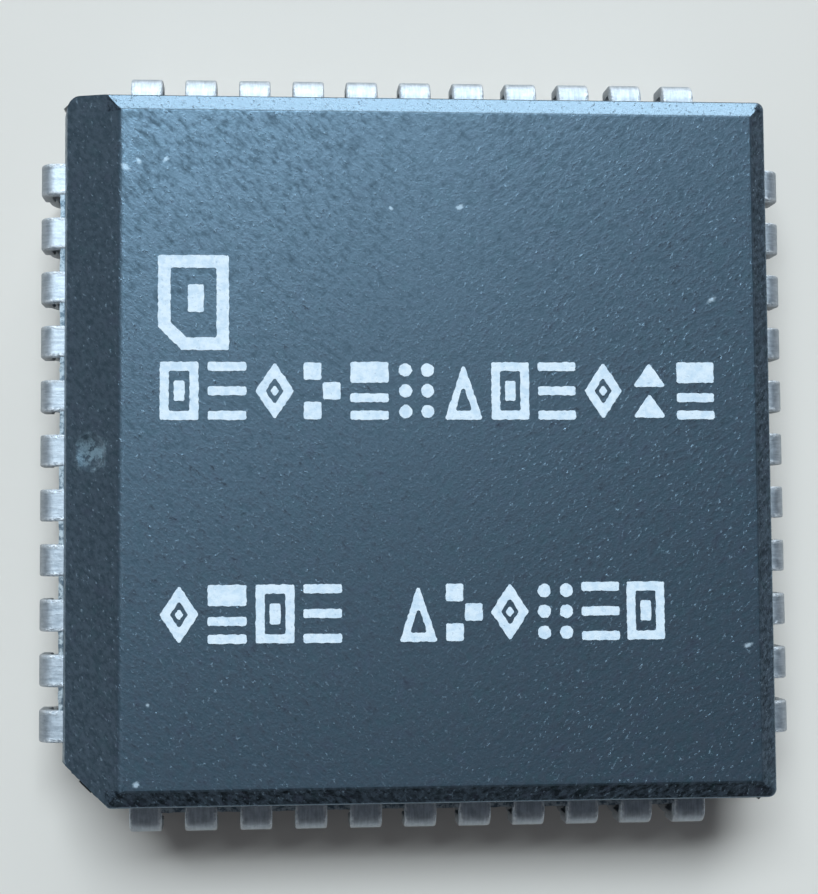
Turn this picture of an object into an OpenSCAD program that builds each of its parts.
// Leaded plastic chip carrier with 44 J-shaped leads, millimetres, +Z out of the marked face.
// The origin is at the middle of the footprint, on the plane that the leads stand on.

/* [Body] */
// width of the moulded body at the parting line
body_w = 16.51; // [16.51:0.01:16.66]
// height of the marked face above the seating plane
top_z = 4.38; // [4.20:0.01:4.57]
// height of the underside above the seating plane
under_z = 0.71; // [0.51:0.01:0.90]
// height of the parting line
part_z = 2.67; // [2.30:0.01:3.00]
// mould draft of the side walls, degrees
draft = 10.4; // [5:0.1:12]
// width of the sloped edge round the marked face
edge_w = 0.398; // [0.20:0.001:0.50]
// height of the same sloped edge
edge_h = 0.228; // [0.15:0.001:0.35]
// radius of the moulded edges
soft_r = 0.08; // [0.03:0.01:0.12]
// radius of the three plain corners, seen from above
corner_r = 0.45; // [0.30:0.01:0.51]
// how far the thin resin webs between the leads stand out
web = 0.10; // [0.01:0.01:0.12]

/* [Index features] */
// width of the index bevel, from the parting line to the marked face
bevel_w = 1.45; // [1.2:0.001:1.7]
// height of the upright land under the bevel
land_h = 0.80; // [0.5:0.01:1.1]
// radius between the bevel and the marked face
bevel_r = 0.30; // [0.05:0.01:0.40]
// size of the index corner chamfer
index_c = 1.08; // [1.00:0.01:1.30]
// diameter of the round index dimple
dimple_d = 0.88; // [0.5:0.01:1.0]
// depth of the index dimple
dimple_h = 0.09; // [0.03:0.01:0.15]

/* [Leads] */
// leads on each side
per_side = 11; // [11]
// distance from lead to lead
pitch = 1.27; // [1.27]
// width over the leads
span = 17.65; // [17.40:0.01:17.65]
// thickness of the lead sheet
lead_t = 0.254; // [0.19:0.001:0.30]
// width of the lead shoulder
lead_w = 0.74; // [0.66:0.01:0.81]
// width of the lead foot
foot_w = 0.45; // [0.33:0.01:0.53]
// distance between the foot middles of opposite sides
foot_span = 15.75; // [15.50:0.01:16.00]
// outer radius of the upper bend
bend_r = 0.40; // [0.35:0.01:0.50]
// angle that the foot curls through, degrees
curl_a = 158; // [130:1:165]

/* [Inside] */
// width of the pad that the die sits on
pad_w = 7.0; // [5.5:0.1:7.4]
// how far the pad is set below the leads
downset = 0.30; // [0.1:0.01:0.4]
// width of the tie bars
tie_w = 0.38; // [0.2:0.01:0.5]
// how far the cut ends of the tie bars stand out
tie_proud = 0.02; // [0.01:0.01:0.1]
// width of the die
die_w = 5.0; // [4.6:0.1:5.2]
// thickness of the die
die_t = 0.38; // [0.2:0.01:0.5]
// thickness of the adhesive under the die
glue_t = 0.03; // [0.02:0.005:0.05]
// diameter of a bond wire
wire_d = 0.032; // [0.02:0.001:0.04]
// height of a bond wire above its chord
loop_h = 0.30; // [0.2:0.01:0.4]

/* [Hidden] */
LEADS = 4*per_side;
r2 = sqrt(2);
td = tan(draft);
middle = (per_side - 1)/2;

// Heights of the lead frame, of the pad set below it, and of the die
lead_z0 = part_z - lead_t/2;
lead_z1 = part_z + lead_t/2;
pad_z0 = lead_z0 - downset;
pad_z1 = lead_z1 - downset;
glue_z = pad_z1 + glue_t;
die_z = glue_z + die_t;

// Half widths of the body, and the distance from its middle to a corner
hb = body_w/2;
under = hb - td*(part_z - under_z);
rim_z = top_z - edge_h;
index_reach = (body_w - index_c)/r2;
corner_reach = reach(45);
corner_angles = [15, 30, 60, 75];
no_cut = hb*r2;
bevel_a = atan((top_z - part_z - land_h)/(bevel_w - td*land_h));

// Mould marks: pockets for the lead tips, webs, ejector pins, the runner's gate, and the dimple's place.
// Webs and gate are rooted this far inside the wall.
rooted = 0.4;
pocket_u = 6.80;
pocket_w = 0.72;
pocket_h = 0.56;
web_reach = 6.62;
web_inset = 0.03;
pin_u = 3.6;
pin_d = 2.2;
pin_h = 0.05;
gate_w = 0.90;
gate_h = 0.24;
gate_proud = 0.05;
gate_gap = 0.10;
dimple_x = -7.50;
dimple_y = -0.11;

// Lead form: radius of the foot, heights of the narrowing, depth of the notches that hold the resin
out = span/2;
foot_r = out - foot_span/2;
narrow_z0 = 1.62;
narrow_z1 = 1.85;
narrow_r = 0.15;
notch = 0.10;

// Where the tie bars step up from the pad to the leads, and how far the adhesive spreads past the die
step_u0 = 5.0;
step_u1 = 5.6;
spread = 0.12;

// Inner ends of the fingers, and the rows of bonds on the die and on the fingers
tip_u = 3.85;
tip_pitch = 0.62;
bond_u = die_w/2 - 0.14;
bond_pitch = 0.41;
stitch_u = 4.12;
ball_d = 0.085;
ball_h = 0.028;
stitch_d = 0.10;
stitch_h = 0.016;

far = 15;
arc_steps = 3;
$fn = 96;

function lead_name(n) = str("lead_", n < 10 ? "0" : "", n);

// Distance from the middle to a wall that faces a degrees round a plain corner
function reach(a) = (hb - corner_r)*(cos(a) + sin(a)) + corner_r;

function unit(v) = v/norm(v);
function flat_point(p) = [p[0], p[1]];
function spun(v, a) = [v[0]*cos(a) - v[1]*sin(a), v[0]*sin(a) + v[1]*cos(a)];
function mirrored(points) = [for (i = [len(points) - 1:-1:0]) [-points[i][0], points[i][1], points[i][2]]];

// Arc of radius r that rounds the corner b between a and c
function corner_arc(a, b, c, r) = let (
    u = unit(a - b),
    v = unit(c - b),
    half = acos(u*v)/2,
    centre = b + unit(u + v)*r/sin(half),
    start = b + u*r/tan(half) - centre,
    sweep = -sign(cross(u, v))*(180 - 2*half)
  ) [for (k = [0:arc_steps]) centre + spun(start, sweep*k/arc_steps)];

// Outline with rounded corners: each point is [x, y, radius], with radius 0 for a sharp one.
function softened(points) = let (count = len(points)) [for (i = [0:count - 1])
    let (a = points[(i + count - 1) % count], b = points[i], c = points[(i + 1) % count])
    each b[2] == 0 ? [flat_point(b)] : corner_arc(flat_point(a), flat_point(b), flat_point(c), b[2])];

// One side of the body in a cut across it: w is the half width at the parting line.
function wall(w) = [[w - td*(part_z - under_z), under_z, soft_r], [w, part_z, 0],
    [w - td*(rim_z - part_z), rim_z, soft_r], [w - td*(rim_z - part_z) - edge_w, top_z, soft_r]];

// The index side has an upright land and a wide bevel instead of the sloped edge.
function index_wall() = [[-hb + bevel_w, top_z, bevel_r], [-hb + td*land_h, part_z + land_h, soft_r],
    [-hb, part_z, 0], [-under, under_z, soft_r]];

module cut_x() {
  polygon(softened(concat(wall(hb), index_wall())));
}

module cut_between(left, right) {
  polygon(softened(concat(wall(right), mirrored(wall(left)))));
}

// A cut turned upright and run through the body, a degrees round the vertical axis
module run(a) {
  rotate([0, 0, a]) rotate([90, 0, 0]) translate([0, 0, -far]) linear_extrude(2*far) children();
}

// The body is what all its cuts have in common; the cuts round the corners stand in for their curve.
module outer_body() {
  intersection() {
    run(0) cut_x();
    run(90) cut_between(hb, hb);
    run(45) cut_between(index_reach, corner_reach);
    run(-45) cut_between(corner_reach, corner_reach);
    intersection_for (a = corner_angles) {
      intersection() {
        run(a) cut_between(no_cut, reach(a));
        run(-a) cut_between(reach(a), reach(a));
      }
    }
  }
}

module on_four_sides() {
  for (a = [0:90:270]) rotate([0, 0, a]) children();
}

module along_a_side() {
  for (i = [-middle:middle]) translate([0, i*pitch, 0]) children();
}

// Thin webs of resin that the mould leaves between the leads
module webs() {
  on_four_sides() translate([hb - rooted, -web_reach, lead_z0 + web_inset])
    cube([rooted + web, 2*web_reach, lead_t - 2*web_inset]);
}

// Stub where the runner was broken off, on the index corner under the lead frame
module gate_mark() {
  rotate([0, 0, 225]) translate([index_reach - rooted, -gate_w/2, lead_z0 - gate_gap - gate_h])
    cube([rooted + gate_proud, gate_w, gate_h]);
}

// Pockets in the underside take the curled lead tips.
module pockets() {
  on_four_sides() along_a_side() translate([pocket_u, -pocket_w/2, -1])
    cube([3, pocket_w, 1 + under_z + pocket_h]);
}

// Shallow round marks that the ejector pins leave in the underside
module pin_marks() {
  for (x = [-pin_u, pin_u]) translate([x, 0, under_z - 1]) cylinder(h = 1 + pin_h, d = pin_d);
}

module dimple() {
  ball_r = (dimple_d*dimple_d/4 + dimple_h*dimple_h)/(2*dimple_h);
  z = part_z + land_h + (dimple_x + hb - td*land_h)*tan(bevel_a);
  translate([dimple_x, dimple_y, z]) rotate([0, -bevel_a, 0]) translate([0, 0, ball_r - dimple_h])
    sphere(r = ball_r);
}

// Half outline of lead i's flat finger: distance out, middle line, half width. It fans in to the die.
function finger_path(i) = let (v0 = i*pitch, v3 = i*tip_pitch, v2 = v3 + (v0 - v3)*0.34) [
    [8.32, v0, lead_w/2], [8.02, v0, lead_w/2], [8.02, v0, lead_w/2 - notch], [7.82, v0, lead_w/2 - notch],
    [7.82, v0, lead_w/2], [7.62, v0, lead_w/2], [7.42, v0, 0.25], [5.3, v2, 0.21], [4.65, v3, 0.16],
    [tip_u, v3, 0.15]];

// Lead i of a side runs out along +X; i counts from the middle one along +Y.
module finger(i) {
  path = finger_path(i);
  plus = [for (p = path) [p[0], p[1] + p[2]]];
  minus = [for (j = [len(path) - 1:-1:0]) [path[j][0], path[j][1] - path[j][2]]];
  translate([0, 0, lead_z0]) linear_extrude(lead_t) polygon(concat(plus, minus));
}

module ring(r) {
  difference() {
    circle(r = r);
    circle(r = r - lead_t);
  }
}

// Side view of the bent part: shoulder, upper bend, upright shank and curled foot
module j_view() {
  shoulder_u = hb - 0.02;
  translate([shoulder_u, lead_z0]) square([out - bend_r - shoulder_u, lead_t]);
  translate([out - bend_r, lead_z1 - bend_r]) intersection() {
    ring(bend_r);
    square(bend_r);
  }
  translate([out - lead_t, foot_r]) square([lead_t, lead_z1 - bend_r - foot_r]);
  translate([out - foot_r, foot_r]) difference() {
    ring(foot_r);
    translate([-3, 0]) square([6, 3]);
    polygon([[0, 0], [-3, 0], [-3, -3*tan(180 - curl_a)]]);
  }
}

// Front view: a wide shoulder that narrows to the foot with rounded corners
module front_view() {
  right = [[foot_w/2, -1, 0], [foot_w/2, narrow_z0, narrow_r], [lead_w/2, narrow_z1, narrow_r],
    [lead_w/2, 3, 0]];
  polygon(softened(concat(right, mirrored(right))));
}

module bent_part() {
  intersection() {
    translate([0, 1, 0]) rotate([90, 0, 0]) linear_extrude(2) j_view();
    translate([5, 0, 0]) rotate([90, 0, 90]) linear_extrude(5) front_view();
  }
}

// Lead n counts from the index dimple, against the clock seen from above.
function on_index_side(n) = n <= middle + 1 || n > LEADS - middle;
function side_angle(n) = on_index_side(n) ? 180 : 270 + 90*floor((n - middle - 2)/per_side);
function place(n) = n <= middle + 1 ? n - 1
    : on_index_side(n) ? n - LEADS - 1
    : (n - middle - 2) % per_side - middle;

module plain_lead(n) {
  rotate([0, 0, side_angle(n)]) {
    finger(place(n));
    translate([0, place(n)*pitch, 0]) bent_part();
  }
}

// One bond wire of a side: an arc over its chord, with a ball on the die and a stitch on the finger
module wire(i) {
  ball = [bond_u, i*bond_pitch, die_z + ball_h/2];
  stitch = [stitch_u, i*tip_pitch, lead_z1 + stitch_h/4];
  way = stitch - ball;
  level = norm(flat_point(way));
  chord = norm(way);
  arc_r = (chord*chord/4 + loop_h*loop_h)/(2*loop_h);
  half = asin(chord/2/arc_r);
  translate(ball) rotate([0, -atan2(way[2], level), atan2(way[1], way[0])])
    translate([chord/2, 0, loop_h - arc_r]) rotate([90, 0, 0]) rotate([0, 0, 90 - half])
      rotate_extrude(angle = 2*half) translate([arc_r, 0]) circle(d = wire_d);
  translate([bond_u, i*bond_pitch, die_z]) cylinder(h = ball_h, d = ball_d);
  translate([stitch_u, i*tip_pitch, lead_z1]) cylinder(h = stitch_h, d = stitch_d);
}

module wires() {
  on_four_sides() for (i = [-middle:middle]) wire(i);
}

// Half of a tie bar pair's side view, from under the pad's edge out to the cut end
function arm(end) = [[step_u0, pad_z1, 0], [step_u1, lead_z1, 0], [end, lead_z1, 0], [end, lead_z0, 0],
    [step_u1 + 0.1, lead_z0, 0], [step_u0 + 0.1, pad_z0, 0]];

// A pair of tie bars in one line, which run to the body's corners and end a little proud of them
module tie_bars(left, right) {
  translate([0, tie_w/2, 0]) rotate([90, 0, 0]) linear_extrude(tie_w)
    polygon(softened(concat(arm(right + tie_proud), mirrored(arm(left + tie_proud)))));
}

module pad_and_ties() {
  translate([-pad_w/2, -pad_w/2, pad_z0]) cube([pad_w, pad_w, lead_t]);
  rotate([0, 0, 45]) tie_bars(index_reach, corner_reach);
  rotate([0, 0, -45]) tie_bars(corner_reach, corner_reach);
}

module adhesive() {
  w = die_w + 2*spread;
  translate([-w/2, -w/2, pad_z1]) cube([w, w, glue_t]);
}

module chip() {
  translate([-die_w/2, -die_w/2, glue_z]) cube([die_w, die_w, die_t]);
}

module moulded_body() {
  color("#3b4450") difference() {
    union() {
      outer_body();
      webs();
      gate_mark();
    }
    pockets();
    pin_marks();
    dimple();
    for (n = [1:LEADS]) plain_lead(n);
    pad_and_ties();
    adhesive();
    chip();
    wires();
  }
}

module lead(n) {
  color("#c3c8cf") plain_lead(n);
}

module die_pad() {
  color("#b98d62") pad_and_ties();
}

module die_attach() {
  color("#c9c9c4") adhesive();
}

module die() {
  color("#6d7280") chip();
}

module bond_wires() {
  color("#e3b64a") wires();
}

moulded_body();
for (n = [1:LEADS]) lead(n);
die_pad();
die_attach();
die();
bond_wires();
